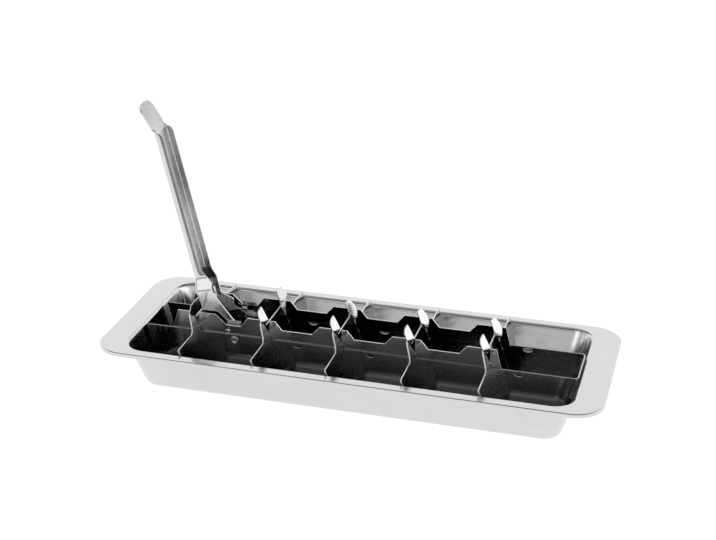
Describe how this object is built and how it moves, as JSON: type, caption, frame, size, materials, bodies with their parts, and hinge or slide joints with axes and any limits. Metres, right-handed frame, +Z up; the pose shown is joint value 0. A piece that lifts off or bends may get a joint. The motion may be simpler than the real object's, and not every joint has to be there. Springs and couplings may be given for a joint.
{
  "type": "lever ice cube tray",
  "caption": "Drawn steel ice tray with a flanged rim and a lift-out divider grid, whose lever slides two plates that rock the cross plates to loosen the cubes.",
  "frame": {"origin": "middle of the pan's underside, on the surface it stands on", "axes": "+X along the pan, away from the raised lever's end; +Y across the pan; +Z up"},
  "size_m": [0.28, 0.11, 0.153],
  "materials": {
    "pan_steel": "satin brushed",
    "divider_steel": "polished sheet",
    "lever_steel": "satin brushed",
    "fastener_steel": "plain"
  },
  "bodies": {
    "pan_body": {"pan": "pan_steel"},
    "grid": {"divider_frame": "divider_steel", "near_pivot_rivet": "fastener_steel", "far_pivot_rivet": "fastener_steel", "near_pivot_bushing": "fastener_steel", "far_pivot_bushing": "fastener_steel", "near_pivot_washer": "fastener_steel", "far_pivot_washer": "fastener_steel"},
    "slide_plates": {"near_slide_plate": "divider_steel", "far_slide_plate": "divider_steel"},
    "lever": {"lever": "lever_steel", "near_drive_pin": "fastener_steel", "far_drive_pin": "fastener_steel"},
    "cross_plate_1": {"cross_plate_1": "divider_steel"},
    "cross_plate_2": {"cross_plate_2": "divider_steel"},
    "cross_plate_3": {"cross_plate_3": "divider_steel"},
    "cross_plate_4": {"cross_plate_4": "divider_steel"},
    "cross_plate_5": {"cross_plate_5": "divider_steel"}
  },
  "joints": [
    {"name": "grid_lift", "type": "slide", "parent": "pan_body", "child": "grid", "axis": [0, 0, 1], "range_m": [0, 0.08]},
    {"name": "lever_swing", "type": "hinge", "parent": "grid", "child": "lever", "pos_m": [-0.0699, 0, 0.0236], "axis": [0, 1, 0], "range_deg": [0, 92.3]},
    {"name": "slide_plates_travel", "type": "slide", "parent": "grid", "child": "slide_plates", "axis": [1, 0, 0], "range_m": [0, 0.00866]},
    {"name": "cross_plate_1_rock", "type": "hinge", "parent": "grid", "child": "cross_plate_1", "pos_m": [-0.083, 0, 0.004], "axis": [0, 1, 0], "range_deg": [0, 18.02]},
    {"name": "cross_plate_2_rock", "type": "hinge", "parent": "grid", "child": "cross_plate_2", "pos_m": [-0.0415, 0, 0.004], "axis": [0, 1, 0], "range_deg": [0, 18.02]},
    {"name": "cross_plate_3_rock", "type": "hinge", "parent": "grid", "child": "cross_plate_3", "pos_m": [0, 0, 0.004], "axis": [0, 1, 0], "range_deg": [0, 18.02]},
    {"name": "cross_plate_4_rock", "type": "hinge", "parent": "grid", "child": "cross_plate_4", "pos_m": [0.0415, 0, 0.004], "axis": [0, 1, 0], "range_deg": [0, 18.02]},
    {"name": "cross_plate_5_rock", "type": "hinge", "parent": "grid", "child": "cross_plate_5", "pos_m": [0.083, 0, 0.004], "axis": [0, 1, 0], "range_deg": [0, 18.02]}
  ],
  "couplings": [
    {"joint": "slide_plates_travel", "follows": "lever_swing", "m_per_rad": 0.0053719},
    {"joint": "cross_plate_1_rock", "follows": "lever_swing", "ratio": 0.19502},
    {"joint": "cross_plate_2_rock", "follows": "lever_swing", "ratio": 0.19502},
    {"joint": "cross_plate_3_rock", "follows": "lever_swing", "ratio": 0.19502},
    {"joint": "cross_plate_4_rock", "follows": "lever_swing", "ratio": 0.19502},
    {"joint": "cross_plate_5_rock", "follows": "lever_swing", "ratio": 0.19502}
  ]
}
